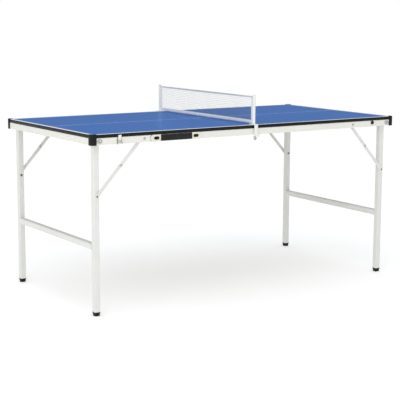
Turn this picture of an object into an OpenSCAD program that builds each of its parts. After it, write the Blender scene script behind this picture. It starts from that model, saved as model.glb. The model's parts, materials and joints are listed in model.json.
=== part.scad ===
// Folding midi table tennis table: two hinged halves on fold-away leg frames, with a clamp-on net.
// Millimetres, +Z up. Origin on the floor under the middle of the net; +X along the table's length, -Y is the
// side with the carry handle. Pieces are drawn in the +X +Y quarter and mirrored to where they belong.

/* [Table top] */
// Overall length over the corner caps
top_l = 1520; // [1280:5:1840]
// Overall width over the corner caps
top_w = 760; // [630:5:920]
// Height of the playing surface above the floor
top_h = 710; // [600:5:860]
// Thickness of the playing board
board_t = 13; // [10:0.5:20]
// Thickness of the black band glued round each board
band_t = 2; // [1:0.5:3]
// Corner radius of the board's outer corners
corner_r = 10; // [6:0.5:16]
// Gap between the two halves at the seam
seam_gap = 1; // [0.6:0.1:2]

/* [Frame] */
// Height of the rail tube
rail_h = 27; // [22:0.5:36]
// Depth of the rail tube
rail_d = 20; // [16:0.5:26]
// Wall of the rail tube
rail_wall = 1.2; // [1:0.1:1.8]
// How far the rails stand back from the edge band
rail_inset = 1.5; // [0.5:0.5:4]
// How far the corner caps stand proud of the edge band
cap_proud = 1.5; // [1:0.1:3]
// Height of the corner cap's lip above the playing surface
cap_lip = 1.5; // [0.5:0.1:3]

/* [Legs] */
// Wall of the leg tube
leg_wall = 1.2; // [1:0.1:1.8]
// Gap between a leg's top corner and the end rail, all through the fold
leg_clear = 1; // [0.6:0.1:2]
// Tube wall left above the leg's pivot bolt
bolt_wall = 1; // [0.8:0.1:2]
// Height of the crossbar's centre above the floor
crossbar_z = 272; // [150:2:400]
// Height of the rubber foot below the leg tube
foot_h = 16; // [12:1:24]
// Width of the foot where it meets the floor
foot_base = 18; // [14:0.5:22]

/* [Folding stays] */
// Distance along the rail from the leg pivot to the stay's rail pivot
stay_run = 196; // [150:2:240]
// Distance down the leg from the leg pivot to the stay's leg pivot
stay_drop = 213; // [160:1:260]
// Width of the stay bars
stay_w = 14; // [11:0.5:16]
// Thickness of the stay bars
stay_t = 2.2; // [1.5:0.1:3]

/* [Fasteners] */
// Radius of the leg pivot bolt
bolt_r = 4; // [3:0.5:5]
// Radius of the stay rivets
rivet_r = 3; // [2:0.25:3.5]
// Radius of the seam hinge's pin
hinge_pin_r = 1.75; // [1.25:0.25:2.5]
// Distance of each seam hinge from the table's long centre line
hinge_y = 230; // [120:5:280]

/* [Latch and handle] */
// Distance of the latch and its strike from the leg pivot
latch_run = 85; // [60:1:120]
// Width of the latch
latch_w = 23; // [18:0.5:30]
// Gap between the stay's rail rivet and the handle's bracket
handle_gap = 26; // [12:1:80]
// Length of the black grip
grip_l = 143; // [110:1:175]

/* [Net] */
// Height of the net above the playing surface
net_h = 118; // [100:1:152]
// Radius of the net posts
post_r = 6.5; // [5:0.25:8]
// Radius of the clamp screws
clamp_screw_r = 3; // [2.5:0.25:4]
// Gap between the net and the playing surface
net_gap = 5.5; // [3:0.5:10]

/* [Hidden] */

$fn = 48;

// Clearances
run = 0.05;         // radial running clearance of a pin in its hole
slip = 0.2;         // sliding clearance of a plug in a tube
side_gap = 0.4;     // side clearance between bars that turn past each other
bump_gap = 1.6;     // room beside a stay for its rivet head
cut = 1;            // how far a cutter runs past the face it cuts

// Colours
blue = "#4b72b7";
black = "#26272b";
white = "#e5e5dd";
leg_white = "#e7e8e3";
steel = "#b9bab8";
chrome = "#d9dcdf";
net_white = "#eef0f2";
post_grey = "#cfd0ce";

// Plan of the top
half_l = top_l / 2;
half_w = top_w / 2;
seam_x = seam_gap / 2;
band_x = half_l - cap_proud;
band_y = half_w - cap_proud;
cap_r = corner_r + cap_proud;

// Rails
board_z = top_h - board_t;
rail_z = board_z - rail_h;
rail_mid_z = rail_z + rail_h / 2;
rail_out_x = band_x - rail_inset;
rail_out_y = band_y - rail_inset;
rail_in_x = rail_out_x - rail_d;
rail_in_y = rail_out_y - rail_d;
rail_r = 2;
rail_seam_x = seam_x + 0.5;

// Corner caps
cap_drop = 0.5;
cap_lip_w = corner_r - 3;
plug_l = 7;
plug_r = 1;

// Seam hinges: the axis lies in the plane of the leaves' lower faces, so the halves can close on each other
leaf_t = 1.5;
leaf_w = 18;
hinge_l = 60;
hinge_r = hinge_pin_r + 1.75;
hinge_z = rail_z - leaf_t;
knuckle_gap = 0.3;
knuckle_l = hinge_l / 3 - knuckle_gap;
seam_rail_x = hinge_r + 0.5;
hinge_screw_r = 1.6;
hinge_screw_l = 8;
hinge_screw_head_r = 3;

// Legs: the square tube stops just above its pivot bolt, and is as wide as its top corner can be and still turn
// clear of the board
leg_r = 3;
pivot_z = rail_mid_z;
pivot_swing = board_z - pivot_z - leg_clear / 2;
leg_over = bolt_r + bolt_wall;
leg_w = 2 * sqrt(pow(pivot_swing, 2) - pow(leg_over, 2));
pivot_x = rail_in_x - pivot_swing - leg_clear;

// Stays stand in two layers between the rail's inner face and the leg's outer face
stay_upper_y = rail_in_y - bump_gap - stay_t;
stay_lower_y = stay_upper_y - side_gap - stay_t;
leg_out_y = stay_lower_y - bump_gap;
leg_y = leg_out_y - leg_w / 2;
leg_in_y = leg_out_y - leg_w;

leg_top_z = pivot_z + leg_over;
foot_lip = 2;
foot_lip_out = 0.5;
foot_step = 1;
foot_plug = 18;

// A stay is straight with the leg down, and folds flat along the rail with the leg up
stay_span = sqrt(pow(stay_run, 2) + pow(stay_drop, 2));
upper_l = (stay_span - (stay_drop - stay_run)) / 2;
lower_l = stay_span - upper_l;
stay_angle = atan2(stay_drop, stay_run);
stay_rail_x = pivot_x - stay_run;
stay_leg_z = pivot_z - stay_drop;
stay_mid_x = stay_rail_x + upper_l * cos(stay_angle);
stay_mid_z = pivot_z - upper_l * sin(stay_angle);
mid_rivet_r = rivet_r - 0.5;
rivet_head_t = 1.2;
rivet_head_r = stay_w / 2 - 1.5;
rivet_gap = 0.1;
rail_head_r = rivet_r + 3;
rail_head_t = 2;
bolt_head_r = bolt_r + 4;
bolt_head_t = 3;
spacer_r = bolt_r + 3.5;
nut_gap = 0.5;
nut_t = 6.5;
nut_r = bolt_r * 1.85;
bolt_end = 1;

// Latch: the hasp swings down over the strike on the other half when the table is closed
latch_plate_t = 1.2;
latch_gap = 0.1;
latch_pin_r = 1.5;
latch_barrel_r = 2.6;
latch_y = rail_out_y + latch_plate_t + latch_gap + latch_barrel_r;
latch_z = rail_z + 2;
latch_knuckle_l = 3.5;
latch_plate_h = rail_h - 4;
latch_x = pivot_x - latch_run;
strike_r = 8.5;
strike_gap = 0.5;
strike_z = board_z - strike_r - strike_gap;
strike_t = 3;
strike_neck_r = 5;
strike_neck_l = 2;
hasp_t = 1.5;
hasp_lip_t = 1.5;
hasp_lip_gap = 0.6;
hasp_lip = latch_y - hasp_t / 2 - rail_out_y - hasp_lip_gap;
hasp_reach = latch_z - (2 * hinge_z - strike_z) + strike_r + strike_gap;
hasp_tip_w = 13;

// Handle: a moulded grip on two guide bars that slide through the rail's outer wall
grip_t = 7;
grip_gap = 2;
grip_h = rail_h - 2.5;
grip_y = rail_out_y + grip_gap;
grip_edge = 2.5;
grip_r = 4;
bar_w = 10;
bar_h = 6;
bar_inset = 12;
bar_x = grip_l / 2 - bar_inset;
stop_t = 1.8;
stop_w = bar_w + 4;
handle_travel = rail_d - 2 * rail_wall - stop_t - 4 * slip;
bracket_gap = 0.6;
bracket_l = 46;
bracket_t = 4.5;
pocket_l = 25;
pocket_h = 12.5;
pocket_depth = 3;
pocket_wall = 6.5;
handle_screw_r = 2;
handle_screw_head_r = 4.2;
handle_screw_sunk = 1;
handle_screw_l = 4;
pocket_x = grip_l / 2 + bracket_gap + pocket_wall + pocket_l / 2;
handle_x = stay_rail_x - handle_gap - bracket_l - bracket_gap - grip_l / 2;

// Net and its clamps: everything under the rail stays on the right half's side of the seam
clamp_t = 3;
clamp_w = 17;
outer_y = grip_y + grip_t;
clamp_in_y = outer_y - clamp_t;
jaw_reach = 35;
jaw_gap = 5;
pad_t = 3;
pad_r = 6;
pad_tip_r = clamp_screw_r - 1;
pad_socket = 2;
clamp_x = seam_x + clamp_w / 2;
pad_z = rail_z - pad_t;
arm_z = pad_z - jaw_gap - clamp_t;
screw_y = rail_in_y + rail_d / 2 - 1;
screw_gap = 0.2;
web_step = 2 * clamp_t;
web_lap = 3 * clamp_t;
wing_r = clamp_w / 2 - 0.5;
wing_t = 3;
wing_gap = 1.5;
wing_h = 12;
wing_foot = 1;
wing_root = 6;
wing_tip = 2.5;
hub_r = clamp_screw_r + 2;
hub_h = 8;
post_inset = 12;
post_over = 6;
post_cap_h = 4;
post_cap_in = 2;
post_y = half_w - post_inset;
post_top_z = top_h + net_h + post_over;
post_foot_z = top_h + clamp_t;
tape_t = 2.4;
tape_h = 6;
bottom_tape_h = 13;
hem_w = 12;
cord_r = 1.2;
net_t = 1;
net_end_y = post_y - post_r - 1;
net_top_z = top_h + net_h;
net_low_z = top_h + net_gap;
tape_z = net_top_z - tape_h;
cord_z = tape_z + tape_h / 2;

// ---- Placing ----

// Right half as drawn, left half mirrored
module on_side(s) {
    mirror([s < 0 ? 1 : 0, 0, 0]) children();
}

// Back as drawn, front mirrored
module on_face(f) {
    mirror([0, f < 0 ? 1 : 0, 0]) children();
}

module both_faces() {
    for (f = [-1, 1]) on_face(f) children();
}

// Extrudes a profile drawn in Y and Z along +X
module along_x(length) {
    rotate([90, 0, 90]) linear_extrude(length) children();
}

// Extrudes a profile drawn in X and Z towards +Y, from y = 0
module along_y(length) {
    translate([0, length, 0]) rotate([90, 0, 0]) linear_extrude(length) children();
}

// A round bar along Y between two places
module rod_y(y0, y1, r) {
    translate([0, y0, 0]) rotate([-90, 0, 0]) cylinder(h = y1 - y0, r = r);
}

// ---- Profiles ----

// A rectangle with rounded corners, centred
module rounded(w, h, r) {
    square([w - 2 * r, h], center = true);
    square([w, h - 2 * r], center = true);
    for (x = [-1, 1], y = [-1, 1])
        translate([x * (w / 2 - r), y * (h / 2 - r)]) circle(r);
}

module tube_profile(w, h, r, wall) {
    difference() {
        rounded(w, h, r);
        rounded(w - 2 * wall, h - 2 * wall, r - wall);
    }
}

// Plan of one half's board, drawn in by an inset, with its two outer corners rounded
module half_plan(inset) {
    x0 = seam_x + inset;
    x1 = band_x - inset;
    y1 = band_y - inset;
    r = corner_r - inset;
    translate([x0, -y1]) square([x1 - r - x0, 2 * y1]);
    translate([x0, -(y1 - r)]) square([x1 - x0, 2 * (y1 - r)]);
    for (y = [-1, 1]) translate([x1 - r, y * (y1 - r)]) circle(r);
}

// A bar with round ends, and holes given as pairs of distance and radius
module bar_plan(length, w, holes) {
    difference() {
        union() {
            circle(w / 2);
            translate([length, 0]) circle(w / 2);
            translate([0, -w / 2]) square([length, w]);
        }
        for (h = holes) translate([h[0], 0]) circle(h[1]);
    }
}

// ---- Top ----

module board(s) {
    color(blue) on_side(s)
        translate([0, 0, board_z]) linear_extrude(board_t) half_plan(band_t);
}

module edge_band(s) {
    color(black) on_side(s)
        translate([0, 0, board_z]) linear_extrude(board_t) difference() {
            half_plan(0);
            half_plan(band_t);
        }
}

// ---- Frame ----

module rail_tube_x(length) {
    along_x(length) tube_profile(rail_d, rail_h, rail_r, rail_wall);
}

// Holes that every long rail has: the leg pivot and the stay's rail pivot
module long_rail(s, f) {
    on_side(s) on_face(f) difference() {
        translate([rail_seam_x, rail_out_y - rail_d / 2, rail_mid_z])
            rail_tube_x(rail_in_x - rail_seam_x);
        translate([pivot_x, 0, pivot_z]) rod_y(rail_in_y - cut, rail_out_y + cut, bolt_r + run);
        translate([stay_rail_x, 0, pivot_z]) rod_y(rail_in_y - cut, rail_out_y + cut, rivet_r + run);
    }
}

module plain_rail(s, f) {
    color(white) long_rail(s, f);
}

// The right front rail also holds the strike's neck
module right_front_rail() {
    color(white) difference() {
        long_rail(1, -1);
        translate([latch_x, 0, strike_z])
            on_face(-1) rod_y(rail_out_y - rail_wall - cut, rail_out_y + cut, strike_neck_r);
    }
}

// The left front rail is slotted for the handle's guide bars and drilled for its screws
module left_front_rail() {
    color(white) difference() {
        long_rail(-1, -1);
        at_handle() {
            both_ends() translate([bar_x, rail_out_y - rail_wall - cut, 0])
                along_y(rail_wall + 2 * cut) square([bar_w + 2 * slip, bar_h + 2 * slip], center = true);
            both_ends() translate([pocket_x, 0, 0])
                rod_y(rail_out_y - rail_wall - cut, rail_out_y + cut, handle_screw_r + run);
        }
    }
}

module end_rail(s) {
    color(white) on_side(s)
        translate([rail_out_x - rail_d / 2, -rail_in_y, rail_mid_z])
            along_y(2 * rail_in_y) tube_profile(rail_d, rail_h, rail_r, rail_wall);
}

module seam_rail(s) {
    color(white) on_side(s) difference() {
        translate([seam_rail_x + rail_d / 2, -rail_in_y, rail_mid_z])
            along_y(2 * rail_in_y) tube_profile(rail_d, rail_h, rail_r, rail_wall);
        hinge_screw_places()
            translate([0, 0, rail_z - cut]) cylinder(h = rail_wall + 2 * cut, r = hinge_screw_r + run);
    }
}

// Square corner with its outer edge rounded
module cap_plan() {
    w = half_l - rail_in_x;
    translate([rail_in_x, rail_in_y]) intersection() {
        square(w);
        union() {
            square([w - cap_r, w]);
            square([w, w - cap_r]);
            translate([w - cap_r, w - cap_r]) circle(cap_r);
        }
    }
}

module corner_caps(s) {
    plug_w = rail_d - 2 * rail_wall - 2 * slip;
    plug_h = rail_h - 2 * rail_wall - 2 * slip;
    color(black) on_side(s) both_faces() {
        // block that fills the frame's corner
        translate([0, 0, rail_z - cap_drop]) linear_extrude(rail_h + cap_drop) cap_plan();
        // skin round the board's corner
        translate([0, 0, board_z]) linear_extrude(board_t) difference() {
            cap_plan();
            half_plan(0);
        }
        // lip over the board's corner
        translate([0, 0, top_h]) linear_extrude(cap_lip) difference() {
            cap_plan();
            half_plan(cap_lip_w);
        }
        // plugs into the long rail and the end rail
        translate([rail_in_x - plug_l, rail_out_y - rail_d / 2, rail_mid_z])
            along_x(plug_l) rounded(plug_w, plug_h, plug_r);
        translate([rail_out_x - rail_d / 2, rail_in_y - plug_l, rail_mid_z])
            along_y(plug_l) rounded(plug_w, plug_h, plug_r);
    }
}

// ---- Seam hinges ----

module at_hinges() {
    for (f = [-1, 1]) translate([0, f * hinge_y, 0]) children();
}

module hinge_screw_places() {
    at_hinges() for (y = [-1, 1])
        translate([seam_rail_x + leaf_w / 2, y * hinge_l / 3, 0]) children();
}

// One leaf: a plate under the seam rail, with knuckles whose middles are listed
module hinge_leaf(knuckles, pin_clear) {
    plate_x = hinge_r + knuckle_gap;
    at_hinges() difference() {
        union() {
            translate([plate_x, -hinge_l / 2, hinge_z])
                cube([seam_rail_x + leaf_w - plate_x, hinge_l, leaf_t]);
            for (y = knuckles) translate([0, y, 0]) {
                translate([0, -knuckle_l / 2, hinge_z]) {
                    rod_y(0, knuckle_l, hinge_r);
                    cube([plate_x + cut, knuckle_l, leaf_t]);
                }
            }
        }
        translate([0, 0, hinge_z]) rod_y(-hinge_l / 2 - cut, hinge_l / 2 + cut, hinge_pin_r + pin_clear);
        for (y = [-1, 1])
            translate([seam_rail_x + leaf_w / 2, y * hinge_l / 3, hinge_z - cut])
                cylinder(h = leaf_t + 2 * cut, r = hinge_screw_r + run);
    }
}

module right_hinge_leaves() {
    color(steel) hinge_leaf([0], run);
}

module left_hinge_leaves() {
    color(steel) mirror([1, 0, 0]) hinge_leaf([-hinge_l / 3, hinge_l / 3], run);
}

module hinge_pins() {
    color(steel) at_hinges() translate([0, 0, hinge_z]) rod_y(-hinge_l / 2, hinge_l / 2, hinge_pin_r);
}

module hinge_screws(s) {
    head_t = 1.2;
    color(steel) on_side(s) hinge_screw_places() {
        translate([0, 0, hinge_z - head_t]) cylinder(h = head_t, r = hinge_screw_head_r);
        translate([0, 0, hinge_z - head_t]) cylinder(h = head_t + leaf_t + hinge_screw_l, r = hinge_screw_r);
    }
}

// ---- Leg pivots and rail rivets ----

// Bolt through the rail and leg, with its nut, and a spacer between them
module pivot_bolts(s) {
    color(steel) on_side(s) both_faces() translate([pivot_x, 0, pivot_z]) {
        union() {
            rod_y(rail_out_y, rail_out_y + bolt_head_t, bolt_head_r);
            rod_y(leg_in_y - nut_gap - nut_t - bolt_end, rail_out_y + cut, bolt_r);
        }
        difference() {
            translate([0, leg_in_y - nut_gap - nut_t, 0])
                rotate([-90, 0, 0]) cylinder(h = nut_t, r = nut_r, $fn = 6);
            rod_y(leg_in_y - nut_gap - nut_t - cut, leg_in_y, bolt_r + run);
        }
        difference() {
            rod_y(leg_out_y + side_gap, rail_in_y, spacer_r);
            rod_y(leg_out_y, rail_in_y + cut, bolt_r + run);
        }
    }
}

// Shouldered rivet: head outside the rail, shoulder inside, end flush with the upper stay
module rail_rivets(s) {
    color(steel) on_side(s) both_faces() translate([stay_rail_x, 0, pivot_z]) {
        rod_y(rail_out_y, rail_out_y + rail_head_t, rail_head_r);
        rod_y(stay_upper_y, rail_out_y + cut, rivet_r);
        rod_y(stay_upper_y + stay_t + side_gap / 2, rail_in_y, rail_head_r);
    }
}

// ---- Leg frames ----

module leg(s, f) {
    color(leg_white) on_side(s) on_face(f) difference() {
        union() {
            translate([pivot_x, leg_y, foot_h])
                linear_extrude(leg_top_z - foot_h) tube_profile(leg_w, leg_w, leg_r, leg_wall);
            // boss that the stay turns against
            translate([pivot_x, 0, stay_leg_z])
                rod_y(leg_out_y - leg_wall / 2, leg_out_y + bump_gap - side_gap / 2, rivet_head_r);
        }
        translate([pivot_x, 0, pivot_z]) rod_y(leg_in_y - cut, leg_out_y + cut, bolt_r + run);
    }
}

module crossbar(s) {
    color(leg_white) on_side(s)
        translate([pivot_x, -leg_in_y, crossbar_z])
            along_y(2 * leg_in_y) tube_profile(leg_w, leg_w, leg_r, leg_wall);
}

// Outline of the foot from one side: a lip under the tube, then a taper to the floor
module foot_side() {
    lip = leg_w / 2 + foot_lip_out;
    polygon([
        [-foot_base / 2, 0], [foot_base / 2, 0],
        [leg_w / 2 - foot_step, foot_h - foot_lip], [lip, foot_h - foot_lip], [lip, foot_h],
        [-lip, foot_h], [-lip, foot_h - foot_lip], [-leg_w / 2 + foot_step, foot_h - foot_lip]
    ]);
}

module feet(s) {
    plug_w = leg_w - 2 * leg_wall - 2 * slip;
    color(black) on_side(s) both_faces() translate([pivot_x, leg_y, 0]) {
        intersection() {
            translate([0, -leg_w, 0]) along_y(2 * leg_w) foot_side();
            translate([-leg_w, 0, 0]) along_x(2 * leg_w) foot_side();
        }
        translate([0, 0, foot_h - cut])
            linear_extrude(foot_plug + cut) rounded(plug_w, plug_w, leg_r - leg_wall);
    }
}

// ---- Folding stays ----

// Upper bar: from the rail's rivet down to the middle rivet
module upper_stay(s, f) {
    color(leg_white) on_side(s) on_face(f)
        translate([stay_rail_x, stay_upper_y, pivot_z]) rotate([0, stay_angle, 0])
            along_y(stay_t) bar_plan(upper_l, stay_w, [[0, rivet_r + run], [upper_l, mid_rivet_r + run]]);
}

// Lower bar: from the middle rivet to the leg, with the head of the rivet that holds it there
module lower_stay(s, f) {
    color(leg_white) on_side(s) on_face(f) {
        translate([stay_mid_x, stay_lower_y, stay_mid_z]) rotate([0, stay_angle, 0])
            along_y(stay_t) bar_plan(lower_l, stay_w, [[0, mid_rivet_r + run]]);
        translate([pivot_x, 0, stay_leg_z])
            rod_y(stay_lower_y + stay_t - cut, stay_lower_y + stay_t + rivet_head_t, rivet_head_r);
    }
}

// Middle rivet, with a shoulder that keeps the two bars apart
module stay_rivet(s, f) {
    top_y = stay_upper_y + stay_t;
    color(steel) on_side(s) on_face(f) translate([stay_mid_x, 0, stay_mid_z]) {
        rod_y(stay_lower_y - rivet_head_t, top_y + rivet_head_t, mid_rivet_r);
        rod_y(top_y, top_y + rivet_head_t, rivet_head_r);
        rod_y(stay_upper_y - side_gap + rivet_gap, stay_upper_y, rivet_head_r);
        rod_y(stay_lower_y - rivet_head_t, stay_lower_y - rivet_gap, rivet_head_r);
    }
}

// ---- Latch ----

// The latch is drawn looking out of the rail, then turned to the left half's front
module at_latch() {
    translate([-latch_x, 0, 0]) on_face(-1) children();
}

module rod_x(length, r) {
    translate([-length / 2, 0, 0]) rotate([0, 90, 0]) cylinder(h = length, r = r);
}

module latch_plate() {
    knuckle_x = latch_w / 2 - latch_knuckle_l / 2;
    color(steel) at_latch() {
        difference() {
            union() {
                translate([-latch_w / 2, rail_out_y, latch_z - latch_barrel_r])
                    cube([latch_w, latch_plate_t, latch_plate_h]);
                for (x = [-1, 1]) translate([x * knuckle_x, 0, latch_z]) {
                    translate([0, latch_y, 0]) rod_x(latch_knuckle_l, latch_barrel_r);
                    translate([-latch_knuckle_l / 2, rail_out_y, -latch_barrel_r])
                        cube([latch_knuckle_l, latch_y - rail_out_y, 2 * latch_barrel_r]);
                }
            }
            translate([0, latch_y, latch_z]) rod_x(latch_w + 2 * cut, latch_pin_r + run);
        }
        translate([0, latch_y, latch_z]) rod_x(latch_w, latch_pin_r);
    }
}

// Spring steel hasp: barrel, tapering strip, and a lip that hooks over the strike's rim
module latch_hasp() {
    barrel_l = latch_w - 2 * latch_knuckle_l - 2 * knuckle_gap;
    color(chrome) at_latch() translate([0, latch_y, latch_z]) difference() {
        union() {
            rod_x(barrel_l, latch_barrel_r);
            translate([0, -hasp_t / 2, 0]) along_y(hasp_t) polygon([
                [-barrel_l / 2, 0], [barrel_l / 2, 0],
                [hasp_tip_w / 2, hasp_reach], [-hasp_tip_w / 2, hasp_reach]
            ]);
            translate([-hasp_tip_w / 2, -hasp_t / 2, hasp_reach - cut])
                cube([hasp_tip_w, hasp_t, hasp_lip_t + cut]);
            translate([-hasp_tip_w / 2, -hasp_t / 2, hasp_reach])
                cube([hasp_tip_w, hasp_t + hasp_lip, hasp_lip_t]);
        }
        rod_x(barrel_l + 2 * cut, latch_pin_r + run);
    }
}

module strike_knob() {
    color(black) on_face(-1) translate([latch_x, 0, strike_z]) {
        rod_y(rail_out_y, rail_out_y + strike_t, strike_r);
        rod_y(rail_out_y - rail_wall - strike_neck_l, rail_out_y + cut, strike_neck_r - run);
    }
}

// ---- Handle ----

module at_handle() {
    translate([-handle_x, 0, rail_mid_z]) on_face(-1) children();
}

module both_ends() {
    for (x = [0, 1]) mirror([x, 0, 0]) children();
}

// An oval, centred, long side along X
module oval(length, h) {
    for (x = [-1, 1]) translate([x * (length - h) / 2, 0]) circle(h / 2);
    square([length - h, h], center = true);
}

module handle_brackets() {
    x0 = grip_l / 2 + bracket_gap;
    x1 = x0 + bracket_l;
    color(white) at_handle() both_ends() difference() {
        translate([0, rail_out_y, 0]) along_y(bracket_t) {
            translate([x0, -rail_h / 2]) square([bracket_l - rail_h / 2, rail_h]);
            translate([x1 - rail_h / 2, 0]) circle(rail_h / 2);
        }
        translate([pocket_x, rail_out_y + bracket_t - pocket_depth, 0])
            along_y(pocket_depth + cut) oval(pocket_l, pocket_h);
        translate([pocket_x, 0, 0]) rod_y(rail_out_y - cut, rail_out_y + bracket_t, handle_screw_r + run);
    }
}

module handle_screws() {
    floor_y = rail_out_y + bracket_t - pocket_depth;
    color(steel) at_handle() both_ends() translate([pocket_x, 0, 0]) {
        rod_y(floor_y, floor_y + pocket_depth - handle_screw_sunk, handle_screw_head_r);
        rod_y(rail_out_y - rail_wall - handle_screw_l, floor_y + cut, handle_screw_r);
    }
}

// Grip with softened edges, on two guide bars that end in stops behind the rail's outer wall
module handle_grip() {
    stop_y = rail_out_y - rail_wall - handle_travel - slip - stop_t;
    color(black) at_handle() {
        translate([0, grip_y, 0]) along_y(grip_t - grip_edge) rounded(grip_l, grip_h, grip_r);
        translate([0, grip_y, 0]) along_y(grip_t) rounded(grip_l - grip_edge, grip_h - 2 * grip_edge, grip_r);
        both_ends() {
            translate([bar_x, stop_y, 0])
                along_y(grip_y + cut - stop_y) square([bar_w, bar_h], center = true);
            translate([bar_x, stop_y, 0]) along_y(stop_t) square([stop_w, bar_h], center = true);
        }
    }
}

// ---- Net ----

module net_mesh() {
    color(net_white)
        translate([-net_t / 2, -net_end_y + hem_w, net_low_z + bottom_tape_h])
            cube([net_t, 2 * (net_end_y - hem_w), tape_z - net_low_z - bottom_tape_h]);
}

module net_top_tape() {
    color(net_white) difference() {
        translate([-tape_t, -net_end_y, tape_z]) cube([2 * tape_t, 2 * net_end_y, tape_h]);
        translate([0, 0, cord_z]) rod_y(-net_end_y - cut, net_end_y + cut, cord_r + run);
    }
}

module net_bottom_tape() {
    color(net_white)
        translate([-net_t, -net_end_y, net_low_z]) cube([2 * net_t, 2 * net_end_y, bottom_tape_h]);
}

module net_side_hems() {
    color(net_white) both_faces()
        translate([-net_t, net_end_y - hem_w, net_low_z + bottom_tape_h])
            cube([2 * net_t, hem_w, tape_z - net_low_z - bottom_tape_h]);
}

// Cord through the top tape, held in a blind hole in each post
module net_cord() {
    color(post_grey) translate([0, 0, cord_z]) rod_y(-post_y, post_y, cord_r);
}

module net_posts() {
    color(post_grey) both_faces() difference() {
        translate([0, post_y, 0]) {
            translate([0, 0, post_foot_z]) cylinder(h = post_top_z - post_cap_h - post_foot_z, r = post_r);
            translate([0, 0, post_top_z - post_cap_h])
                cylinder(h = post_cap_h, r1 = post_r, r2 = post_r - post_cap_in);
        }
        translate([0, 0, cord_z]) rod_y(post_y - post_r - cut, post_y, cord_r + run);
    }
}

// Steel strip bent round the edge of the table: jaw on top, web outside, arm below
module net_clamps() {
    color(white) both_faces() difference() {
        union() {
            translate([-clamp_w / 2, half_w - jaw_reach, top_h])
                cube([clamp_w, outer_y - half_w + jaw_reach, clamp_t]);
            translate([-clamp_w / 2, clamp_in_y, arm_z + web_step])
                cube([clamp_w, clamp_t, top_h + clamp_t - arm_z - web_step]);
            translate([clamp_x - clamp_w / 2, clamp_in_y, arm_z])
                cube([clamp_w, clamp_t, web_step + web_lap]);
            translate([clamp_x - clamp_w / 2, screw_y - clamp_w / 2, arm_z])
                cube([clamp_w, outer_y - screw_y + clamp_w / 2, clamp_t]);
        }
        translate([clamp_x, screw_y, arm_z - cut]) cylinder(h = clamp_t + 2 * cut, r = clamp_screw_r + run);
    }
}

// Swivel pad that presses on the rail, with a socket for the screw's tip
module clamp_pad(f) {
    color(black) on_face(f) translate([clamp_x, screw_y, pad_z]) difference() {
        cylinder(h = pad_t, r = pad_r);
        translate([0, 0, -cut]) cylinder(h = pad_socket + cut, r = pad_tip_r + run);
    }
}

// Thumb screw: threaded shank, tip and two wings
module clamp_screw(f) {
    hub_z = arm_z - wing_gap - wing_h;
    shoulder_z = pad_z - screw_gap;
    color(steel) on_face(f) translate([clamp_x, screw_y, 0]) {
        translate([0, 0, hub_z]) cylinder(h = shoulder_z - hub_z, r = clamp_screw_r);
        translate([0, 0, hub_z]) cylinder(h = shoulder_z + pad_socket - hub_z, r = pad_tip_r);
        translate([0, 0, hub_z]) cylinder(h = hub_h, r = hub_r);
        translate([0, -wing_t / 2, hub_z]) along_y(wing_t) both_ends() polygon([
            [0, wing_foot], [hub_r, wing_foot], [wing_r, wing_h / 2],
            [wing_r, wing_h], [wing_r - wing_tip, wing_h], [0, wing_root]
        ]);
    }
}

// ---- Nodes ----

board(1);  // right_board
board(-1);  // left_board
edge_band(1);  // right_edge_band
edge_band(-1);  // left_edge_band
right_front_rail();
plain_rail(1, 1);  // right_back_rail
end_rail(1);  // right_end_rail
seam_rail(1);  // right_seam_rail
left_front_rail();
plain_rail(-1, 1);  // left_back_rail
end_rail(-1);  // left_end_rail
seam_rail(-1);  // left_seam_rail
corner_caps(1);  // right_corner_caps
corner_caps(-1);  // left_corner_caps
pivot_bolts(1);  // right_pivot_bolts
pivot_bolts(-1);  // left_pivot_bolts
rail_rivets(1);  // right_rail_rivets
rail_rivets(-1);  // left_rail_rivets
right_hinge_leaves();
left_hinge_leaves();
hinge_pins();
hinge_screws(1);  // hinge_screws_right
hinge_screws(-1);  // hinge_screws_left
leg(1, -1);  // right_front_leg
leg(1, 1);  // right_back_leg
crossbar(1);  // right_crossbar
feet(1);  // right_feet
leg(-1, -1);  // left_front_leg
leg(-1, 1);  // left_back_leg
crossbar(-1);  // left_crossbar
feet(-1);  // left_feet
upper_stay(1, -1);  // right_front_upper_stay
lower_stay(1, -1);  // right_front_lower_stay
upper_stay(1, 1);  // right_back_upper_stay
lower_stay(1, 1);  // right_back_lower_stay
upper_stay(-1, -1);  // left_front_upper_stay
lower_stay(-1, -1);  // left_front_lower_stay
upper_stay(-1, 1);  // left_back_upper_stay
lower_stay(-1, 1);  // left_back_lower_stay
stay_rivet(1, -1);  // right_front_stay_rivet
stay_rivet(1, 1);  // right_back_stay_rivet
stay_rivet(-1, -1);  // left_front_stay_rivet
stay_rivet(-1, 1);  // left_back_stay_rivet
latch_plate();
latch_hasp();
strike_knob();
handle_brackets();
handle_screws();
handle_grip();
net_mesh();
net_top_tape();
net_bottom_tape();
net_side_hems();
net_cord();
net_posts();
net_clamps();
clamp_pad(-1);  // front_clamp_pad
clamp_screw(-1);  // front_clamp_screw
clamp_pad(1);  // back_clamp_pad
clamp_screw(1);  // back_clamp_screw
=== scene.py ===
# %% [markdown]
# A folding table tennis table, finished in Blender around its imported frame.
# The frame already holds every part at its true size and place, so this file only adds what the eye judges:
# rounded edges, turned rivets and screws, a knitted net with sewn tapes, weld beads, and a finish for each
# surface. We load the frame first. The finished looks must stay inside it.

# %% Load the frame
import json
from math import cos, pi, radians, sin

import bmesh
import bpy
from mathutils import Matrix, Vector, noise

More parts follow.
